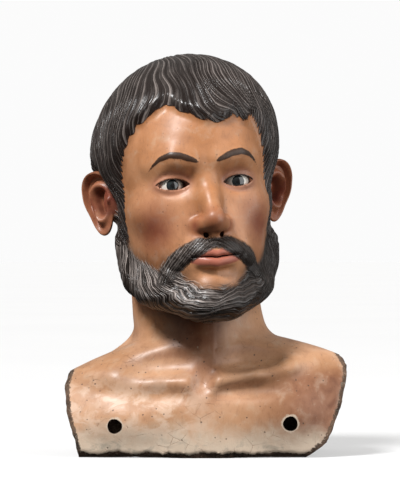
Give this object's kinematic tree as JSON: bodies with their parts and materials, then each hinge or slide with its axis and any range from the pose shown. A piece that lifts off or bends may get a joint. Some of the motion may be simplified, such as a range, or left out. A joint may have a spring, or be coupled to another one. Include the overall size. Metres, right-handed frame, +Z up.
{
  "type": "polychrome terracotta bust of a bearded man",
  "caption": "Painted hollow clay head and shoulders, short hair and beard, glass eyes, peg holes through the chest, cut flat below.",
  "frame": {"origin": "middle of the bounding box on the flat underside", "axes": "+Z up from the underside to the crown; the chest faces -Y; the head turns towards +X"},
  "size_m": [0.2786, 0.2354, 0.401],
  "materials": {
    "painted_clay": "fired clay painted in flesh and dark brown, under an aged varnish",
    "eye_glass": "polished glass over a painted iris"
  },
  "bodies": {
    "root": {"head_bust": "painted_clay", "left_eye": "eye_glass", "right_eye": "eye_glass"}
  },
  "joints": []
}
